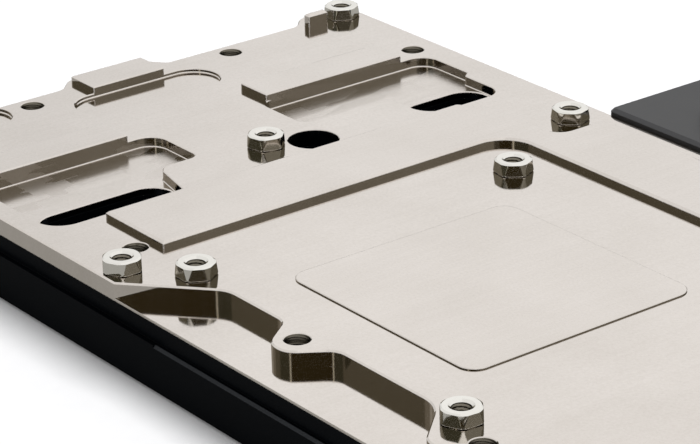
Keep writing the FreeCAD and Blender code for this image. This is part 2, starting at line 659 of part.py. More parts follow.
# ---- terminal ---------------------------------------------------------------------------------------
def make_terminal_block():
    """Port terminal: two threaded ports that open on both faces."""
    far = PORT_SIDE_Y + TERMINAL_DEPTH
    sides = (-TERMINAL_HALF_LENGTH, TERMINAL_HALF_LENGTH)
    block = prism(rectangle(sides, (PORT_SIDE_Y, far), TERMINAL_CORNER), COVER_BOTTOM, TERMINAL_TOP)
    rims = [edge for edge in block.Edges if edge.BoundBox.ZLength < 1e-6]
    block = block.makeChamfer(TERMINAL_BEVEL, rims)
    cuts = []
    for x in (-PORT_X, PORT_X):
        cuts.append(cylinder(x, PORT_Y, PORT_RADIUS, COVER_BOTTOM, COVER_BOTTOM + PORT_DEPTH))
        cuts.append(cylinder(x, PORT_Y, PORT_WEB_RADIUS, COVER_BOTTOM, TERMINAL_TOP))
        cuts.append(cylinder(x, PORT_Y, PORT_RADIUS, TERMINAL_TOP - PLUG_STUB_LENGTH, TERMINAL_TOP))
        cuts.append(mouth(x, PORT_Y, PORT_RADIUS, PORT_MOUTH, TERMINAL_TOP))
        lower_mouth = Vector(x, PORT_Y, COVER_BOTTOM)
        cuts.append(Part.makeCone(PORT_RADIUS + PORT_MOUTH, PORT_RADIUS, PORT_MOUTH, lower_mouth))
        cuts.append(cylinder_y(x, FLOW_Z, FLOW_RADIUS, PORT_SIDE_Y, PORT_Y))
        cuts.append(seal_ring(x, SEAL_INNER - SEAL_CLEARANCE, SEAL_INNER + SEAL_SECTION + SEAL_CLEARANCE))
    for x in TERMINAL_SCREW_X:
        cuts.append(cylinder_y(x, FLOW_Z, SCREW_CLEARANCE_HOLE, PORT_SIDE_Y, far))
        cuts.append(cylinder_y(x, FLOW_Z, HEAD_SINK_RADIUS, far - HEAD_SINK_DEPTH, far))
    return one_solid(block.cut(cuts))


def seal_ring(x, inner, outer):
    """Ring at the joint between terminal and cover, pressed flat."""
    ring = cylinder_y(x, FLOW_Z, outer, PORT_SIDE_Y, PORT_SIDE_Y + SEAL_SECTION)
    return ring.cut(cylinder_y(x, FLOW_Z, inner, PORT_SIDE_Y, PORT_SIDE_Y + SEAL_SECTION))


def plug_ring(x, inner, outer):
    """Ring under the flange of a port plug."""
    high = TERMINAL_TOP + PLUG_SEAL_SECTION
    return cylinder(x, PORT_Y, outer, TERMINAL_TOP, high).cut(cylinder(x, PORT_Y, inner, TERMINAL_TOP, high))


def make_port_plug(x):
    """Plug that closes a port on the component side."""
    flange_top = TERMINAL_TOP + PLUG_FLANGE_HEIGHT
    flange = cylinder(x, PORT_Y, PLUG_FLANGE_RADIUS, TERMINAL_TOP, flange_top)
    rim = [edge for edge in flange.Edges if edge.BoundBox.ZMin > flange_top - 1e-6]
    flange = flange.makeChamfer(PLATE_BEVEL, rim)
    stub_radius = PORT_RADIUS - PLUG_THREAD_CLEARANCE
    stub = cylinder(x, PORT_Y, stub_radius, TERMINAL_TOP - PLUG_STUB_LENGTH, TERMINAL_TOP)
    key = hexagon(PLUG_KEY, flange_top - PLUG_KEY_DEPTH, flange_top)
    key.translate(Vector(x, PORT_Y, 0))
    groove_outer = PLUG_SEAL_INNER + PLUG_SEAL_SECTION + SEAL_CLEARANCE
    groove = plug_ring(x, PLUG_SEAL_INNER - SEAL_CLEARANCE, groove_outer)
    return one_solid(flange.fuse(stub).cut([key, groove]))


# ---- fasteners ----------------------------------------------------------------------------------------
def cap_screw(length, threaded):
    """M4 cap screw on the Z axis: the head seats at zero and the shank points up."""
    head = cylinder(0, 0, HEAD_RADIUS, -HEAD_HEIGHT, 0)
    rim = [edge for edge in head.Edges if edge.BoundBox.ZMax < -HEAD_HEIGHT + 1e-6]
    head = head.makeChamfer(PLATE_BEVEL, rim)
    root = TAP_RADIUS - THREAD_CLEARANCE
    shank = cylinder(0, 0, SCREW_RADIUS, 0, length - threaded)
    thread = cylinder(0, 0, root, length - threaded, length)
    key = hexagon(KEY_ACROSS, -HEAD_HEIGHT, -HEAD_HEIGHT + KEY_DEPTH)
    return one_solid(head.fuse([shank, thread]).cut(key))


def make_cover_screw(x, y):
    """Cap screw that comes up through the cover into the plate."""
    seat = COVER_BOTTOM + COVER_SINK_DEPTH
    screw = cap_screw(COVER_SCREW_LENGTH, seat + COVER_SCREW_LENGTH - SEAT)
    screw.translate(Vector(x, y, seat))
    return screw


def make_terminal_screw(x):
    """Cap screw that runs through the terminal into the side of the cover."""
    seat = PORT_SIDE_Y + TERMINAL_DEPTH - HEAD_SINK_DEPTH
    screw = cap_screw(TERMINAL_SCREW_LENGTH, TERMINAL_SCREW_LENGTH - (seat - PORT_SIDE_Y))
    screw.rotate(Vector(0, 0, 0), Vector(1, 0, 0), 90)
    screw.translate(Vector(x, seat, FLOW_Z))
    return screw


def make_standoff(x, y, turn):
    """Hexagonal standoff with a pressed spigot and a threaded bore."""
    top = FLOOR + STANDOFF_HEIGHT
    foot = FLOOR + STANDOFF_COLLAR
    narrow = STANDOFF_ACROSS / 2 - STANDOFF_FACE_RIM
    wide = narrow + (top - foot) / math.tan(math.radians(STANDOFF_CROWN_ANGLE))
    crown = Part.makeCone(wide, narrow, top - foot, Vector(0, 0, foot))
    undercut = Part.makeCone(narrow, wide, top - foot, Vector(0, 0, foot))
    body = hexagon(STANDOFF_ACROSS, foot, top, turn).common(crown).common(undercut)
    collar = cylinder(0, 0, STANDOFF_COLLAR_RADIUS, FLOOR, foot)
    spigot = cylinder(0, 0, SPIGOT_RADIUS, FLOOR - SPIGOT_LENGTH, FLOOR)
    bore = cylinder(0, 0, STANDOFF_BORE, top - STANDOFF_BORE_DEPTH, top)
    solid = body.fuse([collar, spigot]).cut([bore, mouth(0, 0, STANDOFF_BORE, STANDOFF_MOUTH, top)])
    solid = one_solid(solid)
    solid.translate(Vector(x, y, 0))
    return solid


# ---- assembly --------------------------------------------------------------------------------------------
def make_pieces():
    """Every piece of the cold plate by the name of its node."""
    pieces = {
        "cold_plate": make_cold_plate(),
        "cover": make_cover(),
        "main_gasket": make_main_gasket(),
        "jet_plate": make_jet_plate(),
        "terminal_block": make_terminal_block(),
        "inlet_seal": seal_ring(PORT_X, SEAL_INNER, SEAL_INNER + SEAL_SECTION),
        "outlet_seal": seal_ring(-PORT_X, SEAL_INNER, SEAL_INNER + SEAL_SECTION),
        "inlet_plug": make_port_plug(PORT_X),
        "outlet_plug": make_port_plug(-PORT_X),
        "inlet_plug_seal": plug_ring(PORT_X, PLUG_SEAL_INNER, PLUG_SEAL_INNER + PLUG_SEAL_SECTION),
        "outlet_plug_seal": plug_ring(-PORT_X, PLUG_SEAL_INNER, PLUG_SEAL_INNER + PLUG_SEAL_SECTION),
    }
    for number, (x, y) in enumerate(COVER_SCREWS, start=1):
        pieces["cover_screw_%d" % number] = make_cover_screw(x, y)
    for number, x in enumerate(TERMINAL_SCREW_X, start=1):
        pieces["terminal_screw_%d" % number] = make_terminal_screw(x)
    for name, (x, y, turn) in STANDOFFS.items():
        pieces[name] = make_standoff(x, y, turn)
    return pieces


os.makedirs("parts", exist_ok=True)
for node, shape in make_pieces().items():
    shape.exportStep("parts/%s.step" % node)
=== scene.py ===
"""Looks of a full-cover liquid cooling cold plate: finishes, threads, light and camera."""

from __future__ import annotations

import logging
import math
from dataclasses import dataclass, field
from enum import Enum
from typing import Any

import bpy
from mathutils import Matrix, Vector

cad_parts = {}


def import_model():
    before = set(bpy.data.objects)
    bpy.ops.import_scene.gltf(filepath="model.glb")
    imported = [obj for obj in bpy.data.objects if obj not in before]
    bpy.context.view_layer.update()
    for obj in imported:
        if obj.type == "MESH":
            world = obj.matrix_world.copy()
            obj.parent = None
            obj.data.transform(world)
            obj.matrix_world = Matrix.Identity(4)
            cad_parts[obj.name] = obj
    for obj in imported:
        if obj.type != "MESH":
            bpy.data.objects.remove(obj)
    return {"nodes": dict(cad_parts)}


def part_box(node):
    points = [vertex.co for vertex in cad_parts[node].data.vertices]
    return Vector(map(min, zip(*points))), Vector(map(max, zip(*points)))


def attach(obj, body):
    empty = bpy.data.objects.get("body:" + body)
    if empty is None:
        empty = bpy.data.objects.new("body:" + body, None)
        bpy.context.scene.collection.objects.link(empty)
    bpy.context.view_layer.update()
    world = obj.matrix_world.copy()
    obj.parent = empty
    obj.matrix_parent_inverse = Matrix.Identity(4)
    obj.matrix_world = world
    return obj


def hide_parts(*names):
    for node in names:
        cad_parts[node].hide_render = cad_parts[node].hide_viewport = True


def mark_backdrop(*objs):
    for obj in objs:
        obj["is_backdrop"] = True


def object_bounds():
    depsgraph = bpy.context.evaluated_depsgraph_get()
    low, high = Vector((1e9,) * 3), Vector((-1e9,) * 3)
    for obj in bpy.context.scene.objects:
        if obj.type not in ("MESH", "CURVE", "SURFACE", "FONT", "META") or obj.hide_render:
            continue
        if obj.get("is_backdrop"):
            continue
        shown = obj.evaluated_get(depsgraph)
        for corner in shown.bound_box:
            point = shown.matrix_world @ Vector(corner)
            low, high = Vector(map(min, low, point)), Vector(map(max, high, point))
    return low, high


LOG = logging.getLogger("cold_plate")
MM = 0.001
WHITE = (1.0, 1.0, 1.0)
BLACK = (0.0, 0.0, 0.0)
EDGE_SAMPLES = 6
Triple = tuple[float, float, float]


class Slot(Enum):
    """Material slots of the record that new pieces use."""

    NICKEL = "nickel_plate"
    STANDOFF = "standoff_nickel"
    TERMINAL = "acetal_terminal"


class Ray(Enum):
    """What a shader can ask about the ray that meets it."""

    CAMERA = "Is Camera Ray"
    GLOSSY = "Is Glossy Ray"
    GLASS = "Is Transmission Ray"
    DEPTH = "Ray Depth"


# ---- shader building ----------------------------------------------------------------------


class Signal:
    """A shader socket that takes part in sums, products and quotients."""

    def __init__(self, tree: bpy.types.NodeTree, socket: Any) -> None:
        """Wraps a node's output socket.

        Args:
            tree: The node tree that holds the socket.
            socket: The output socket.
        """
        self.tree = tree
        self.socket = socket

    def _math(self, operation: str, first: Any, second: Any = 0.0) -> Signal:
        """One Math node on two values.

        Args:
            operation: The Math node's operation.
            first: A signal or a number.
            second: A signal or a number.

        Returns:
            The node's result.
        """
        node = self.tree.nodes.new("ShaderNodeMath")
        node.operation = operation
        for index, value in enumerate((first, second)):
            if isinstance(value, Signal):
                self.tree.links.new(value.socket, node.inputs[index])
            else:
                node.inputs[index].default_value = float(value)
        return Signal(self.tree, node.outputs[0])

    def __add__(self, other: Any) -> Signal:
        """self + other."""
        return self._math("ADD", self, other)

    def __radd__(self, other: Any) -> Signal:
        """other + self."""
        return self._math("ADD", other, self)

    def __sub__(self, other: Any) -> Signal:
        """self - other."""
        return self._math("SUBTRACT", self, other)

    def __rsub__(self, other: Any) -> Signal:
        """other - self."""
        return self._math("SUBTRACT", other, self)

    def __mul__(self, other: Any) -> Signal:
        """self * other."""
        return self._math("MULTIPLY", self, other)

    def __rmul__(self, other: Any) -> Signal:
        """other * self."""
        return self._math("MULTIPLY", other, self)

    def __truediv__(self, other: Any) -> Signal:
        """self / other."""
        return self._math("DIVIDE", self, other)

    def __rtruediv__(self, other: Any) -> Signal:
        """other / self."""
        return self._math("DIVIDE", other, self)

    def limited(self) -> Signal:
        """The value held between zero and one."""
        return self._math("MINIMUM", self._math("MAXIMUM", self, 0.0), 1.0)

    def above(self, level: float) -> Signal:
        """One where the value is greater than the level, otherwise zero."""
        return self._math("GREATER_THAN", self, level)

    def largest(self, other: Any) -> Signal:
        """The larger of two values."""
        return self._math("MAXIMUM", self, other)

    def size(self) -> Signal:
        """The value without its sign."""
        return self._math("ABSOLUTE", self)


class Shader:
    """One material's or world's node tree, filled node by node."""

    def __init__(self, owner: Any) -> None:
        """Clears the tree of a material or world.

        Args:
            owner: The material or world to fill.
        """
        owner.use_nodes = True
        self.tree = owner.node_tree
        self.tree.nodes.clear()

    def node(
        self, kind: str, settings: dict[str, Any] | None = None, output: Any = 0, **values: Any
    ) -> Signal:
        """Adds a node, sets it up and joins its inputs.

        Args:
            kind: The node's type.
            settings: Properties that are set first.
            output: The name or number of the output that is wanted.
            **values: Input name, with _ for a space, or i0, i1 by place, to a signal or constant.

        Returns:
            The output as a signal.
        """
        node = self.tree.nodes.new(kind)
        for key, value in (settings or {}).items():
            setattr(node, key, value)
        for key, value in values.items():
            by_place = key[0] == "i" and key[1:].isdigit()
            socket = node.inputs[int(key[1:]) if by_place else key.replace("_", " ")]
            if isinstance(value, Signal):
                self.tree.links.new(value.socket, socket)
            else:
                socket.default_value = value
        return Signal(self.tree, node.outputs[output])

    def vector(self, operation: str, output: Any = 0, **values: Any) -> Signal:
        """A Vector Math node.

        Args:
            operation: The node's operation.
            output: The output that is wanted, 0 for a vector and "Value" for a number.
            **values: The node's inputs.

        Returns:
            The result.
        """
        return self.node("ShaderNodeVectorMath", {"operation": operation}, output, **values)

    def ray(self, kind: Ray) -> Signal:
        """What the present ray is."""
        return self.node("ShaderNodeLightPath", output=kind.value)

    def part_of(self, vector: Signal, axis: int) -> Signal:
        """A vector's X, Y or Z, for axis 0, 1 or 2."""
        return self.node("ShaderNodeSeparateXYZ", output=axis, Vector=vector)

    def plain_normal(self) -> Signal:
        """The direction that the surface faces before any shading trick."""
        return self.node("ShaderNodeNewGeometry", output="Normal")

    def spot(self) -> Signal:
        """Object coordinates in metres."""
        return self.node("ShaderNodeTexCoord", output="Object")

    def place(self, scale: Triple = (1.0, 1.0, 1.0)) -> Signal:
        """Object coordinates in metres, stretched by a scale along each axis."""
        return self.node("ShaderNodeMapping", Vector=self.spot(), Scale=scale)

    def noise(self, where: Signal, scale: float, detail: float) -> Signal:
        """Soft noise between zero and one.

        Args:
            where: The place to read it at.
            scale: Lumps per metre.
            detail: How many finer layers it has.

        Returns:
            The noise value.
        """
        return self.node("ShaderNodeTexNoise", Vector=where, Scale=scale, Detail=detail)

    def streaks(self, scale: Triple, detail: float) -> Signal:
        """Noise that is stretched into streaks by the lumps per metre along each axis."""
        return self.noise(self.place(scale), 1.0, detail)

    def patches(self, where: Signal, scale: float) -> Signal:
        """Square-edged patches, each with its own value between zero and one.

        Args:
            where: The place to read them at.
            scale: Patches per metre.

        Returns:
            The patch's value.
        """
        settings = {"distance": "CHEBYCHEV", "feature": "F1"}
        colour = self.node(
            "ShaderNodeTexVoronoi", settings, output="Color", Vector=where, Scale=scale
        )
        return self.node("ShaderNodeSeparateColor", output=0, Color=colour)

    def blend(self, share: Any, first: Any, second: Any) -> Signal:
        """Colour between two colours.

        Args:
            share: How much of the second colour, from zero to one.
            first: A colour or a signal.
            second: A colour or a signal.

        Returns:
            The colour.
        """
        first = first if isinstance(first, Signal) else (*first, 1.0)
        second = second if isinstance(second, Signal) else (*second, 1.0)
        settings = {"data_type": "RGBA"}
        return self.node("ShaderNodeMix", settings, output=2, i0=share, i6=first, i7=second)

    def between(self, share: Any, first: Signal, second: Signal) -> Signal:
        """Direction between two directions.

        Args:
            share: How much of the second one, from zero to one.
            first: A direction.
            second: A direction.

        Returns:
            The direction.
        """
        settings = {"data_type": "VECTOR"}
        return self.node("ShaderNodeMix", settings, output=1, i0=share, i4=first, i5=second)

    def facing_up(self) -> Signal:
        """How far the surface faces up, from minus one to one."""
        return self.part_of(self.plain_normal(), 2)

    def level(self) -> Signal:
        """Height of the point in millimetres above the processor pad."""
        return self.part_of(self.spot(), 2) / MM

    def rounded(self, radius: float) -> Signal:
        """Normals that turn smoothly over edges of a radius in metres."""
        return self.node("ShaderNodeBevel", {"samples": EDGE_SAMPLES}, Radius=radius)

    def soft_edges(self, radius: float, share: Any) -> Signal:
        """Normals that turn smoothly over broken edges.

        Args:
            radius: How far the edge is broken, in metres.
            share: Where edges are broken, from zero to one.

        Returns:
            The normal.
        """
        return self.between(share, self.plain_normal(), self.rounded(radius))

    def bump(self, height: Signal, distance: float, base: Signal) -> Signal:
        """Turns a height pattern into a normal.

        Args:
            height: The pattern.
            distance: Height of a full step, in metres.
            base: The normal that the pattern is laid on.

        Returns:
            The normal.
        """
        return self.node(
            "ShaderNodeBump", Strength=1.0, Height=height, Distance=distance, Normal=base
        )

    def plain_bump(self, height: Signal, distance: float) -> Signal:
        """Turns a height pattern into a normal on the plain surface."""
        return self.node("ShaderNodeBump", Strength=1.0, Height=height, Distance=distance)

    def principled(self, **values: Any) -> Signal:
        """The main surface shader with its inputs."""
        return self.node("ShaderNodeBsdfPrincipled", **values)

    def finish(self, surface: Signal, kind: str = "ShaderNodeOutputMaterial") -> None:
        """Joins the surface to the output."""
        output = self.tree.nodes.new(kind)
        self.tree.links.new(surface.socket, output.inputs["Surface"])


def sum_of(signals: tuple[Signal, ...], shares: tuple[float, ...]) -> Signal:
    """Adds signals up, each by its share.

    Args:
        signals: The signals.
        shares: One share for each of them.

    Returns:
        The weighted sum.
    """
    whole = signals[0] * shares[0]
    for signal, share in zip(signals[1:], shares[1:]):
        whole = whole + signal * share
    return whole


def new_material(name: str) -> tuple[bpy.types.Material, Shader]:
    """An empty material and its shader.

    Args:
        name: The finish's name.

    Returns:
        The material and its shader.
    """
    material = bpy.data.materials.new(name)
    return material, Shader(material)


# ---- finishes -----------------------------------------------------------------------------


@dataclass(frozen=True)
class NickelFinish:
    """Bright nickel plating over milled copper.

    Levels, feet and their margins are in millimetres over the processor pad. Edges, corners and
    mark heights are in metres, and the scales of marks are lumps per metre.
    """

    name: str
    colour: Triple = (0.775, 0.725, 0.680)
    shade: Triple = (0.665, 0.615, 0.565)
    tint_shares: Triple = (1.0, 0.4, 0.9)
    tint_start: float = 0.65
    roughness: float = 0.075
    roughness_spread: float = 0.05
    wall_roughness: float = 0.0
    wall_steepness: float = 2.0
    pocket_top: float = -1.2
    pocket_bottom: float = -2.2
    pocket_steepness: float = 8.0
    pocket_roughness: float = 0.22
    patch_stretch: Triple = (1.0, 0.35, 0.02)
    patch_scale: float = 300.0
    patch_contrast: float = 1.6
    patch_start: float = 0.5
    patch_least: float = 0.4
    mark_height: float = 0.0000022
    mill_passes: Triple = (900.0, 40.0, 40.0)
    cross_passes: Triple = (60.0, 1400.0, 60.0)
    scratches: Triple = (240.0, 3600.0, 240.0)
    scratch_start: float = 0.74
    scratch_gain: float = 4.0
    wall_lines: Triple = (60.0, 60.0, 4200.0)
    cloud_scale: float = 70.0
    grain_scale: float = 5200.0
    speckle_scale: float = 2600.0
    mark_shares: tuple[float, float, float, float] = (0.40, 0.20, 0.25, 0.15)
    marks_on_walls: float = 0.15
    line_share: float = 0.3
    edge: float = 0.00015
    feet: tuple[float, ...] = (-0.25, -1.75, -2.45)
    foot_below: float = 0.02
    foot_above: float = 0.13
    raised_level: float = -0.1
    corner: float = 0.0005
    corner_turn: float = 0.84
    corner_steepness: float = 16.0
    corner_polish: float = 0.6

    def _outer_edges(self, sh: Shader, upright: Signal) -> Signal:
        """One where an edge stands out, and zero in the feet of walls.

        Args:
            sh: The finish's shader.
            upright: Where the surface is a wall, from zero to one.

        Returns:
            Where edges are broken.
        """
        level = sh.level()
        in_foot: Any = 0.0
        for foot in self.feet:
            over = level.above(foot - self.foot_below)
            in_foot = over * (1.0 - level.above(foot + self.foot_above)) + in_foot
        on_top = (1.0 - upright) * level.above(self.raised_level)
        return (upright * (1.0 - in_foot) + on_top).limited()

    def _polished_corners(self, sh: Shader, base: Signal, upright: Signal) -> Signal:
        """Rounds the upright corners of walls further, with a polished line on each.

        Args:
            sh: The finish's shader.
            base: The normal so far.
            upright: Where the surface is a wall, from zero to one.

        Returns:
            The normal.
        """
        flat = sh.vector("MULTIPLY", i0=sh.rounded(self.corner), i1=(1.0, 1.0, 0.0))
        flat = sh.vector("NORMALIZE", i0=flat)
        same = sh.vector("DOT_PRODUCT", "Value", i0=flat, i1=sh.plain_normal())
        polished = ((self.corner_turn - same) * self.corner_steepness).limited()
        rise = sh.part_of(base, 2) + polished * self.corner_polish
        level = sh.vector("SCALE", i0=flat, Scale=1.0 - rise.size())
        lift = sh.node("ShaderNodeCombineXYZ", Z=rise)
        whole = sh.vector("NORMALIZE", i0=sh.vector("ADD", i0=level, i1=lift))
        return sh.between(upright, base, whole)

    def _pocket_marks(self, sh: Shader, flat: Signal) -> Signal:
        """Where the cutter left the pockets' floors dull, in square-edged patches.

        Args:
            sh: The finish's shader.
            flat: Where the surface is level, from zero to one.

        Returns:
            How dull the floor is, from zero to one.
        """
        level = sh.level()
        under = ((self.pocket_top - level) * self.pocket_steepness).limited()
        over = ((level - self.pocket_bottom) * self.pocket_steepness).limited()
        patch = sh.patches(sh.place(self.patch_stretch), self.patch_scale)
        patch = (patch * self.patch_contrast - self.patch_start).limited()
        return under * over * flat * (patch * (1.0 - self.patch_least) + self.patch_least)

    def make(self) -> bpy.types.Material:
        """Builds the plating: mill passes, lines on walls, patchy pocket floors and scratches.

        Returns:
            The material.
        """
        material, sh = new_material(self.name)
        where = sh.place()
        passes = sh.streaks(self.mill_passes, 3.0)
        cross = sh.streaks(self.cross_passes, 2.0)
        lines = sh.streaks(self.wall_lines, 2.0)
        clouds = sh.noise(where, self.cloud_scale, 3.0)
        grain = sh.noise(where, self.grain_scale, 2.0)
        speckle = sh.noise(where, self.speckle_scale, 2.0)
        scratch = (sh.streaks(self.scratches, 1.0) - self.scratch_start).limited()
        upright = 1.0 - (sh.facing_up().size() * self.wall_steepness).limited()
        flat = 1.0 - upright

        rough = (clouds - 0.5) * self.roughness_spread + (passes - 0.5) * self.roughness_spread
        rough = rough + self.roughness + upright * self.wall_roughness
        rough = rough + self._pocket_marks(sh, flat) * self.pocket_roughness

        marks = (passes, cross, grain, scratch * self.scratch_gain)
        height = sum_of(marks, self.mark_shares)
        height = height * (flat * (1.0 - self.marks_on_walls) + self.marks_on_walls)
        height = height + lines * upright * self.line_share
        normal = sh.soft_edges(self.edge, self._outer_edges(sh, upright))
        if self.corner:
            normal = self._polished_corners(sh, normal, upright)

        share = sum_of((clouds, passes, speckle), self.tint_shares) - self.tint_start
        surface = sh.principled(
            Base_Color=sh.blend(share.limited(), self.colour, self.shade),
            Metallic=1.0,
            Roughness=rough.limited(),
            Normal=sh.bump(height, self.mark_height, normal),
        )
        sh.finish(surface)
        return material


@dataclass(frozen=True)
class AcetalFinish:
    """Black acetal with fine milling marks and broken edges, which carry a painted highlight: a
    paler base colour where they face partly up.
    """

    name: str
    colour: Triple
    worn: Triple
    # edge is the colour of the painted highlight on edges that face partly up.
    edge: Triple
    roughness: float = 0.5
    specular: float = 0.5
    mark_height: float = 0.000006
    broken: float = 0.00015
    cutter_marks: Triple = (120.0, 1500.0, 120.0)
    grain_scale: float = 6000.0
    grain_roughness: float = 0.10
    cloud_scale: float = 55.0
    cloud_roughness: float = 0.14
    # Tilts between which the painted edge highlight shows, and how strong it is.
    edge_from: float = 0.3
    edge_to: float = 0.92
    edge_steepness: float = 10.0
    highlight_share: float = 0.6
    highlight_grain: float = 0.5

    def make(self) -> bpy.types.Material:
        """Builds the plastic: cutter marks, fine grain, slight clouding, and a painted highlight
        that makes the base colour paler on edges facing partly up.

        Returns:
            The material.
        """
        material, sh = new_material(self.name)
        where = sh.place()
        marks = sh.streaks(self.cutter_marks, 2.0)
        grain = sh.noise(where, self.grain_scale, 3.0)
        clouds = sh.noise(where, self.cloud_scale, 3.0)
        rough = self.roughness + (clouds - 0.5) * self.cloud_roughness
        rough = rough + (grain - 0.5) * self.grain_roughness
        tint = sh.blend((grain * 0.5 + clouds * 0.5).limited(), self.colour, self.worn)
        # Painted highlight: the base colour turns paler where the surface faces partly up,
        # standing in for light caught on the edges.
        tilt = sh.facing_up()
        past_wall = ((tilt - self.edge_from) * self.edge_steepness).limited()
        on_edge = past_wall * ((self.edge_to - tilt) * self.edge_steepness).limited()
        painted_highlight = on_edge * (self.highlight_share + grain * self.highlight_grain)
        height = marks * 0.5 + grain * 0.5
        surface = sh.principled(
            Base_Color=sh.blend(painted_highlight, tint, self.edge),
            Roughness=rough.limited(),
            Specular_IOR_Level=self.specular,
            Normal=sh.bump(height, self.mark_height, sh.soft_edges(self.broken, 1.0)),
        )
        sh.finish(surface)
        return material


@dataclass(frozen=True)
class SteelFinish:
    """Stainless steel, turned or brushed."""

    name: str
    colour: Triple = (0.55, 0.54, 0.53)
    roughness: float = 0.26
    streaks: Triple = (300.0, 300.0, 4500.0)
    roughness_spread: float = 0.15
    dark_share: float = 0.8
    mark_height: float = 0.000004

    def make(self) -> bpy.types.Material:
        """Builds the steel with streaks that follow its working direction.

        Returns:
            The material.
        """
        material, sh = new_material(self.name)
        streak = sh.streaks(self.streaks, 3.0)
        dark = tuple(self.dark_share * part for part in self.colour)
        surface = sh.principled(
            Base_Color=sh.blend(streak, self.colour, dark),
            Metallic=1.0,
            Roughness=(self.roughness + (streak - 0.5) * self.roughness_spread).limited(),
            Normal=sh.plain_bump(streak, self.mark_height),
        )
        sh.finish(surface)
        return material


@dataclass(frozen=True)
class RubberFinish:
    """Black seal rubber."""

    name: str
    colour: Triple = (0.018, 0.018, 0.018)
    bloom: Triple = (0.032, 0.032, 0.031)
    bloom_scale: float = 900.0
    roughness: float = 0.6
    roughness_spread: float = 0.2
    mark_height: float = 0.00001

    def make(self) -> bpy.types.Material:
        """Builds the rubber with a dusty bloom.

        Returns:
            The material.
        """
        material, sh = new_material(self.name)
        bloom = sh.noise(sh.place(), self.bloom_scale, 4.0)
        surface = sh.principled(
            Base_Color=sh.blend(bloom, self.colour, self.bloom),
            Roughness=(self.roughness + bloom * self.roughness_spread).limited(),
            Normal=sh.plain_bump(bloom, self.mark_height),
        )
        sh.finish(surface)
        return material


@dataclass(frozen=True)
class StudioWhite:
    """Floor that shows white to the camera, keeps the shadow and is calmer in gloss."""

    name: str = "studio_white"
    glow: float = 0.06
    far_glow: float = 0.6
    far_start: float = 0.45
    paper: Triple = (0.80, 0.80, 0.81)
    tooth_colour: Triple = (0.77, 0.77, 0.78)
    tooth_scale: float = 400.0
    in_gloss: Triple = (0.31, 0.305, 0.29)

    def make(self) -> bpy.types.Material:
        """Builds the paper: a matt surface with a little glow for what looks straight at it.

        Returns:
            The material.
        """
        material, sh = new_material(self.name)
        away = sh.vector("LENGTH", "Value", i0=sh.spot())
        far = (away - self.far_start).limited()
        seen = sh.ray(Ray.CAMERA).largest(sh.ray(Ray.GLASS)) * (far * self.far_glow + self.glow)
        tooth = sh.noise(sh.place(), self.tooth_scale, 2.0)
        plain = sh.blend(tooth, self.paper, self.tooth_colour)
        surface = sh.principled(
            Base_Color=sh.blend(sh.ray(Ray.GLOSSY), plain, self.in_gloss),
            Roughness=1.0,
            Specular_IOR_Level=0.0,
            Emission_Color=sh.blend(seen.limited(), BLACK, WHITE),
            Emission_Strength=1.0,
        )
        sh.finish(surface)
        return material


@dataclass(frozen=True)
class CardFinish:
    """Card that is clear at first sight and shows its colour in the second reflection only."""

    name: str
    colour: Triple
    first_look: float = 1.5

    def make(self) -> bpy.types.Material:
        """Builds the card as a dim glow behind a clear first look.

        Returns:
            The material.
        """
        material, sh = new_material(self.name)
        clear = sh.node("ShaderNodeBsdfTransparent", Color=(*WHITE, 1.0))
        glow = sh.node("ShaderNodeEmission", Color=(*self.colour, 1.0), Strength=1.0)
        reflected = sh.ray(Ray.DEPTH).above(self.first_look)
        sh.finish(sh.node("ShaderNodeMixShader", i0=reflected, i1=clear, i2=glow))
        return material


# ---- meshes -------------------------------------------------------------------------------


def make_object(name: str, points: list[Any], faces: list[Any], smooth: bool) -> bpy.types.Object:
    """Makes an object from points and faces.

    Args:
        name: The piece's name.
        points: Vertices in metres.
        faces: Lists of vertex numbers.
        smooth: Whether its faces shade smooth.

    Returns:
        The linked object.
    """
    mesh = bpy.data.meshes.new(name)
    mesh.from_pydata([tuple(point) for point in points], [], faces)
    mesh.validate()
    mesh.polygons.foreach_set("use_smooth", [smooth] * len(mesh.polygons))
    mesh.update()
    thing = bpy.data.objects.new(name, mesh)
    bpy.context.scene.collection.objects.link(thing)
    return thing


def fit_piece(piece: bpy.types.Object, slot: Slot, *finishes: bpy.types.Material) -> None:
    """Gives a new piece its finishes and its body.

    Args:
        piece: The piece.
        slot: The record's slot; not used.
        *finishes: One material for each of its material slots.
    """
    for finish in finishes:
        piece.data.materials.append(finish)
    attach(piece, "root")
    LOG.info("%s: %d faces", piece.name, len(piece.data.polygons))


def ridge(z: float, step: int, around: int, pitch: float) -> float:
    """How far a thread's ridge stands out at a height and a step round the bore."""
    phase = (z / pitch - step / around) % 1.0
    return 1 - abs(2 * phase - 1)


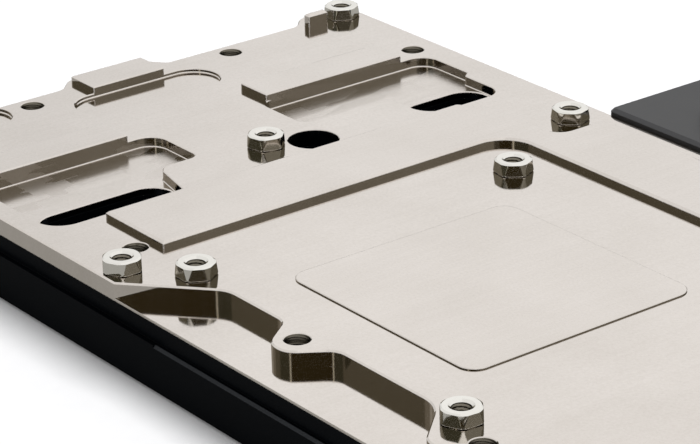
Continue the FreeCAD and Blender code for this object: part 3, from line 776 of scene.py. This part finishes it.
@dataclass(frozen=True)
class InnerThread:
    """A run of inner thread, in millimetres: a closed sleeve whose bore has a helical ridge."""

    crest: float
    root: float
    pitch: float
    low: float
    high: float
    around: int = 40
    rows_per_turn: int = 6
    wall: float = 0.04

    def _fade(self, z: float) -> float:
        """How far the ridge has risen at a height: it starts and ends gently."""
        rise, fall = 2 * (z - self.low) / self.pitch, 2 * (self.high - z) / self.pitch
        return max(0.0, min(1.0, rise, fall))

    def add_to(self, points: list[Any], faces: list[Any], x: float, y: float) -> None:
        """Adds one sleeve at a place.

        Args:
            points: Vertices so far, in metres.
            faces: Faces so far.
            x: The axis place along X, in millimetres.
            y: The axis place along Y, in millimetres.
        """
        around = self.around
        rows = max(3, round((self.high - self.low) / self.pitch * self.rows_per_turn)) + 1
        rings = []
        for row in range(rows):
            z = self.low + (self.high - self.low) * row / (rows - 1)
            depth = (self.root - self.crest) * self._fade(z)
            bore = [self.root - depth * ridge(z, k, around, self.pitch) for k in range(around)]
            rings.append((z, bore))
        rings += [(z, [self.root + self.wall] * around) for z in (self.low, self.high)]
        first = len(points)
        for z, radii in rings:
            for step, radius in enumerate(radii):
                angle = 2 * math.pi * step / around
                across, along = radius * math.cos(angle), radius * math.sin(angle)
                points.append(((x + across) * MM, (y + along) * MM, z * MM))
        last = first + (rows - 1) * around
        outer_low, outer_high = last + around, last + 2 * around
        for step in range(around):
            after = (step + 1) % around
            for here in range(first, last, around):
                there = here + around
                faces.append((here + after, here + step, there + step, there + after))
            faces.append(
                (outer_low + step, outer_low + after, outer_high + after, outer_high + step)
            )
            faces.append((first + step, first + after, outer_low + after, outer_low + step))
            faces.append((last + after, last + step, outer_high + step, outer_high + after))


@dataclass(frozen=True)
class TurnedStandoff:
    """Hexagon standoff with turned corners, spigot and threaded bore, as one closed mesh.

    Its fields are in millimetres. A limit is the radius that the hexagon's corners are turned to.
    """

    flat: float = 2.5
    foot_limit: float = 2.8
    head_limit: float = 2.6
    under_limit: float = 2.72
    foot_chamfer: float = 0.08
    side_steps: int = 8
    rim: float = 2.33
    rim_lip: float = 0.03
    rim_drop: float = 0.02
    crown: float = 0.17
    mouth: float = 1.6
    mouth_depth: float = 0.3
    collar: float = 2.35
    gap: float = 0.11
    spigot: float = 2.0
    spigot_lead: float = 0.25
    bore_depth: float = 1.85
    bore_end: float = 0.05
    crest: float = 1.12
    root: float = 1.26
    pitch: float = 0.5
    rows_per_turn: int = 12
    around: int = 180
    sharp_angle: float = 14.0

    def _round(self, radius: float) -> list[float]:
        """A round ring."""
        return [radius] * self.around

    def _hexagon(self, limit: float, turn: float) -> list[float]:
        """A hexagonal ring whose corners are turned down to a radius.

        Args:
            limit: The radius.
            turn: Where the first corner points, in degrees.

        Returns:
            The ring's radii, step by step.
        """
        ring = []
        for step in range(self.around):
            off_flat = (360 * step / self.around - turn) % 60 - 30
            ring.append(min(self.flat / math.cos(math.radians(off_flat)), limit))
        return ring

    def _outside(self, bottom: float, top: float, turn: float) -> list[tuple[float, list[float]]]:
        """Rings from the spigot's end up the outside to the mouth of the bore.

        Args:
            bottom: Level of the spigot's end.
            top: Level of the top face.
            turn: Where the first corner points, in degrees.

        Returns:
            The rings.
        """
        seat = bottom + self.spigot
        under = seat + self.gap
        rings = [
            (bottom, self._round(self.spigot - self.spigot_lead)),
            (bottom + self.spigot_lead, self._round(self.spigot)),
            (seat, self._round(self.spigot)),
            (seat, self._round(self.collar)),
            (under, self._round(self.collar)),
            (under, self._hexagon(self.under_limit, turn)),
        ]
        foot, shoulder = under + self.foot_chamfer, top - self.crown
        for step in range(self.side_steps + 1):
            share = step / self.side_steps
            limit = self.foot_limit + (self.head_limit - self.foot_limit) * share
            rings.append((foot + (shoulder - foot) * share, self._hexagon(limit, turn)))
        rings.append((top - self.rim_drop, self._hexagon(self.rim + self.rim_lip, turn)))
        rings += [(top, self._round(self.rim)), (top, self._round(self.mouth))]
        return rings

    def _inside(self, top: float) -> list[tuple[float, list[float]]]:
        """Rings down the threaded bore.

        Args:
            top: Level of the top face.

        Returns:
            The rings.
        """
        high, low = top - self.mouth_depth, top - self.bore_depth + self.bore_end
        rows = round((high - low) / self.pitch * self.rows_per_turn)
        rings = []
        for row in range(rows + 1):
            z = high + (low - high) * row / rows
            fade = min(1.0, 2 * (high - z) / self.pitch, 2 * (z - low) / self.pitch)
            depth = (self.root - self.crest) * fade
            steps = range(self.around)
            bore = [self.root - depth * ridge(z, k, self.around, self.pitch) for k in steps]
            rings.append((z, bore))
        rings.append((top - self.bore_depth, self._round(self.crest)))
        return rings

    def make(self, name: str, low: Vector, high: Vector, turn: float) -> bpy.types.Object:
        """Makes one standoff in the box of its solid.

        Args:
            name: The piece's name.
            low: Lowest corner of the solid, in metres.
            high: Highest corner of the solid.
            turn: Where the first corner points, in degrees.

        Returns:
            The object, whose second material slot is for its thread.
        """
        outside = self._outside(low.z / MM, high.z / MM, turn)
        rings = outside + self._inside(high.z / MM)
        x, y = (low.x + high.x) / 2, (low.y + high.y) / 2
        points = [(x, y, low.z)]
        for z, radii in rings:
            for step, radius in enumerate(radii):
                angle = 2 * math.pi * step / self.around
                across, along = radius * math.cos(angle), radius * math.sin(angle)
                points.append((x + across * MM, y + along * MM, z * MM))
        points.append((x, y, rings[-1][0] * MM))
        last = 1 + (len(rings) - 1) * self.around
        faces: list[Any] = []
        in_bore: list[int] = []
        for step in range(self.around):
            after = (step + 1) % self.around
            faces.append((0, 1 + after, 1 + step))
            for here in range(1, last, self.around):
                there = here + self.around
                faces.append((here + step, here + after, there + after, there + step))
            faces.append((last + step, last + after, len(points) - 1))
            in_bore += [0] * len(outside) + [0] + [1] * (len(rings) - len(outside))
        piece = make_object(name, points, faces, True)
        piece.data.set_sharp_from_angle(angle=math.radians(self.sharp_angle))
        piece.data.polygons.foreach_set("material_index", in_bore)
        return piece


# ---- sub-assemblies -----------------------------------------------------------------------


@dataclass
class Dresser:
    """Gives CAD nodes their finishes."""

    nodes: dict[str, bpy.types.Object]

    def dress(self, material: bpy.types.Material, *prefixes: str) -> None:
        """Puts one finish on every node whose name starts with one of the prefixes.

        Args:
            material: The finish.
            *prefixes: The starts of the nodes' names.
        """
        for name, node in self.nodes.items():
            if name.startswith(prefixes):
                node.data.materials.clear()
                node.data.materials.append(material)


def axis_place(node: str) -> tuple[float, ...]:
    """Where an upright node stands, to the hundredth that the meshing of a round leaves true.

    Args:
        node: The node's name.

    Returns:
        Its axis along X and Y, its lowest level and its highest, in millimetres.
    """
    low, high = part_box(node)
    middle = (low + high) / 2
    return tuple(round(value / MM, 2) for value in (middle.x, middle.y, low.z, high.z))


@dataclass
class ColdPlate:
    """The nickel plated plate, its standoffs and the threads in both."""

    dresser: Dresser
    plating: NickelFinish = NickelFinish("nickel_plating")
    standoff_plating: NickelFinish = NickelFinish(
        "standoff_plating",
        colour=(0.86, 0.84, 0.79),
        shade=(0.80, 0.78, 0.73),
        roughness=0.06,
        roughness_spread=0.04,
        wall_roughness=0.06,
        pocket_roughness=0.0,
        mark_height=0.000001,
        edge=0.00006,
        corner=0.0,
        feet=(),
        pocket_top=-9.0,
        pocket_bottom=-9.5,
    )
    # The threads' dark colour is painted shade for the dim inside of the tapped bores, not the
    # colour of their plating.
    thread_painted_shade: SteelFinish = SteelFinish(
        "thread_painted_shade", (0.22, 0.20, 0.16), 0.3, (400.0, 400.0, 900.0)
    )
    cover_screws: int = 11
    tap_crest: float = 1.56
    tap_root: float = 1.69
    tap_pitch: float = 0.7
    tap_over_screw: float = 0.02
    tap_top: float = -0.35
    rail_tap_top: float = 0.65
    rail_screw: int = 10
    standoff_turns: dict[str, float] = field(default_factory=lambda: {
        "gpu_rear_low": 0.0,
        "gpu_front_low": 24.0,
        "gpu_front_high": 40.0,
        "gpu_rear_high": 52.0,
        "slot_side": 27.0,
        "middle": 14.0,
        "rear_corner": 0.0,
        "port_side": 46.0,
        "port_side_front": 12.0,
        "front": 30.0,
    })

    def build(self) -> None:
        """Dresses the plate and adds its threads."""
        threads = self.thread_painted_shade.make()
        self.dresser.dress(self.plating.make(), "cold_plate")
        self._tap_threads(threads)
        self._standoffs(self.standoff_plating.make(), threads)

    def _tap_threads(self, finish: bpy.types.Material) -> None:
        """Threads of the plate's tapped holes, from the ends of the cover's screws upwards.

        Args:
            finish: The threads' material.
        """
        points: list[Any] = []
        faces: list[Any] = []
        for number in range(1, self.cover_screws + 1):
            x, y, _, screw_end = axis_place(f"cover_screw_{number}")
            top = self.rail_tap_top if number == self.rail_screw else self.tap_top
            low = screw_end + self.tap_over_screw
            thread = InnerThread(self.tap_crest, self.tap_root, self.tap_pitch, low, top)
            thread.add_to(points, faces, x, y)
        fit_piece(make_object("plate_threads", points, faces, True), Slot.NICKEL, finish)

    def _standoffs(self, plating: bpy.types.Material, threads: bpy.types.Material) -> None:
        """The standoffs, turned at their corners and tapped, each in place of its plain solid.

        Args:
            plating: The material of their outside.
            threads: The material of their threads.
        """
        for name, turn in self.standoff_turns.items():
            node = f"standoff_{name}"
            piece = TurnedStandoff().make(f"tapped_standoff_{name}", *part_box(node), turn)
            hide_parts(node)
            fit_piece(piece, Slot.STANDOFF, plating, threads)


@dataclass
class CoverAndTerminal:
    """The black plastic parts, their screws, seals and port threads."""

    dresser: Dresser
    # The edge colours below are painted highlights on edges that face partly up.
    cover: AcetalFinish = AcetalFinish(
        "cover_acetal",
        colour=(0.0010, 0.0016, 0.0025),
        worn=(0.0022, 0.0030, 0.0042),
        edge=(0.045, 0.048, 0.052),
        roughness=0.42,
        specular=0.03,
    )
    terminal: AcetalFinish = AcetalFinish(
        "terminal_acetal",
        colour=(0.016, 0.016, 0.017),
        worn=(0.028, 0.028, 0.029),
        edge=(0.04, 0.04, 0.042),
    )
    plug: AcetalFinish = AcetalFinish(
        "plug_acetal",
        colour=(0.012, 0.012, 0.013),
        worn=(0.02, 0.02, 0.021),
        edge=(0.04, 0.04, 0.041),
        roughness=0.34,
    )
    sheet: SteelFinish = SteelFinish(
        "brushed_sheet", (0.6, 0.59, 0.58), 0.3, (200.0, 5200.0, 200.0)
    )
    port_crest: float = 5.55
    port_root: float = 5.88
    port_pitch: float = 1.337
    port_low: float = 0.62
    port_high: float = 2.05
    port_around: int = 64

    def build(self) -> None:
        """Dresses the parts and adds the port threads."""
        terminal = self.terminal.make()
        plug = self.plug.make()
        rubber = RubberFinish("seal_rubber").make()
        dress = self.dresser.dress
        dress(self.cover.make(), "cover")
        dress(terminal, "terminal_block")
        dress(plug, "inlet_plug", "outlet_plug")
        dress(SteelFinish("screw_steel").make(), "cover_screw_", "terminal_screw_")
        dress(self.sheet.make(), "jet_plate")
        dress(rubber, "main_gasket", "inlet_seal", "outlet_seal")
        dress(rubber, "inlet_plug_seal", "outlet_plug_seal")
        self._port_threads(terminal)

    def _port_threads(self, finish: bpy.types.Material) -> None:
        """Threads of the two ports, seen from below.

        Args:
            finish: The threads' material.
        """
        points: list[Any] = []
        faces: list[Any] = []
        foot = axis_place("terminal_block")[2]
        low, high = foot + self.port_low, foot + self.port_high
        thread = InnerThread(
            self.port_crest, self.port_root, self.port_pitch, low, high, self.port_around
        )
        for plug in ("outlet_plug", "inlet_plug"):
            thread.add_to(points, faces, *axis_place(plug)[:2])
        fit_piece(make_object("port_threads", points, faces, True), Slot.TERMINAL, finish)


@dataclass(frozen=True)
class Card:
    """One card of the reflection ring, between two headings in degrees."""

    name: str
    start: float
    end: float
    colour: Triple


@dataclass
class Studio:
    """Floor, reflection cards, lamp, world and camera, in metres."""

    floor_level: float
    floor_reach: float = 6.0
    card_reach: float = 1.8
    card_top: float = 1.4
    card_steps: int = 12
    lamp_place: Triple = (-0.05, 0.30, 1.2)
    lamp_size: float = 0.7
    lamp_power: float = 14.0
    sky_light: float = 0.50
    calm: float = 0.10
    calm_under: float = 0.30
    under_steepness: float = 8.0
    calm_beside: float = 0.02
    beside_steepness: float = 12.5
    calm_heading: tuple[float, float] = (-0.602, -0.799)
    lens: float = 156.618
    sensor: float = 36.0
    clip: tuple[float, float] = (0.01, 50.0)
    camera_place: Triple = (0.268613, -0.225068, 0.159883)
    camera_axes: tuple[Triple, Triple, Triple] = (
        (0.61076315, 0.79149667, -0.02239207),
        (-0.30132665, 0.25848628, 0.91781648),
        (0.73223673, -0.55382115, 0.39637293),
    )
    cards: tuple[Card, ...] = (
        Card("card_port_side", -8.0, 62.0, (0.195, 0.182, 0.150)),
        Card("card_far", 62.0, 150.0, (0.100, 0.090, 0.065)),
        Card("card_rear", 150.0, 190.0, (0.330, 0.310, 0.270)),
        Card("card_rear_slot", 190.0, 208.0, (0.180, 0.165, 0.130)),
        Card("card_slot_side", 208.0, 234.0, (0.098, 0.088, 0.062)),
        Card("card_slot_near", 234.0, 286.5, (0.046, 0.043, 0.026)),
        Card("card_slit", 286.5, 291.0, (0.700, 0.680, 0.570)),
        Card("card_near_left", 291.0, 335.0, (0.030, 0.022, 0.008)),
        Card("card_near_right", 335.0, 352.0, (0.070, 0.063, 0.047)),
    )

    def build(self) -> None:
        """Sets up everything round the object."""
        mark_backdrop(self._floor(), *[self._card(card) for card in self.cards])
        self._lamp()
        self._world()
        self._camera()
        bpy.context.scene.view_settings.view_transform = "Standard"

    def _floor(self) -> bpy.types.Object:
        """A wide pale floor.

        Returns:
            The floor.
        """
        reach, z = self.floor_reach, self.floor_level
        corners = [(-reach, -reach, z), (reach, -reach, z), (reach, reach, z), (-reach, reach, z)]
        floor = make_object("floor", corners, [(0, 1, 2, 3)], False)
        floor.data.materials.append(StudioWhite().make())
        return floor

    def _card(self, card: Card) -> bpy.types.Object:
        """A curved card round the object, shown only in reflections.

        Args:
            card: Its name, headings and colour.

        Returns:
            The card.
        """
        points = []
        for step in range(self.card_steps + 1):
            heading = math.radians(card.start + (card.end - card.start) * step / self.card_steps)
            x, y = self.card_reach * math.cos(heading), self.card_reach * math.sin(heading)
            points += [(x, y, self.floor_level), (x, y, self.card_top)]
        faces = [(2 * k, 2 * k + 2, 2 * k + 3, 2 * k + 1) for k in range(self.card_steps)]
        thing = make_object(card.name, points, faces, False)
        thing.data.materials.append(CardFinish(card.name, card.colour).make())
        thing.visible_camera = False
        thing.visible_diffuse = False
        thing.visible_shadow = False
        return thing

    def _lamp(self) -> None:
        """A large soft lamp above, a little towards the port side."""
        data = bpy.data.lights.new("top_lamp", "AREA")
        data.size = self.lamp_size
        data.energy = self.lamp_power
        lamp = bpy.data.objects.new("top_lamp", data)
        lamp.location = self.lamp_place
        lamp.rotation_mode = "QUATERNION"
        lamp.rotation_quaternion = Vector(self.lamp_place).to_track_quat("Z", "Y")
        lamp.visible_glossy = False
        bpy.context.scene.collection.objects.link(lamp)

    def _world(self) -> None:
        """White surroundings to the camera and in gloss, softer as a light."""
        world = bpy.data.worlds.new("studio")
        bpy.context.scene.world = world
        sh = Shader(world)
        glossy = sh.ray(Ray.GLOSSY)
        seen = sh.ray(Ray.CAMERA).largest(glossy).largest(sh.ray(Ray.GLASS))
        way = sh.node("ShaderNodeTexCoord", output="Generated")
        side_x, side_y = self.calm_heading
        across = sh.part_of(way, 0) * side_x + sh.part_of(way, 1) * side_y
        rise = sh.part_of(way, 2) - self.calm_under
        low_part = 1.0 - (rise * self.under_steepness).limited()
        side_part = ((across - self.calm_beside) * self.beside_steepness).limited()
        calm = 1.0 - glossy * (low_part * self.calm + side_part * self.calm)
        strength = (self.sky_light + seen * (1.0 - self.sky_light)) * calm
        sky = sh.node("ShaderNodeBackground", Color=(*WHITE, 1.0), Strength=strength)
        sh.finish(sky, "ShaderNodeOutputWorld")

    def _camera(self) -> None:
        """The camera, from the bracket end on the slot side."""
        data = bpy.data.cameras.new("camera")
        data.lens = self.lens
        data.sensor_width = self.sensor
        data.clip_start, data.clip_end = self.clip
        camera = bpy.data.objects.new("camera", data)
        turn = Matrix(self.camera_axes).transposed().to_4x4()
        camera.matrix_world = Matrix.Translation(Vector(self.camera_place)) @ turn
        bpy.context.scene.collection.objects.link(camera)
        bpy.context.scene.camera = camera


def main() -> None:
    """Builds the dressed cold plate and its studio."""
    logging.basicConfig(level=logging.INFO)
    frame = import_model()
    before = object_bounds()
    dresser = Dresser(frame["nodes"])
    for part in (ColdPlate(dresser), CoverAndTerminal(dresser), Studio(before[0].z)):
        part.build()
        LOG.info("built %s", type(part).__name__)


if __name__ == "__main__":
    main()
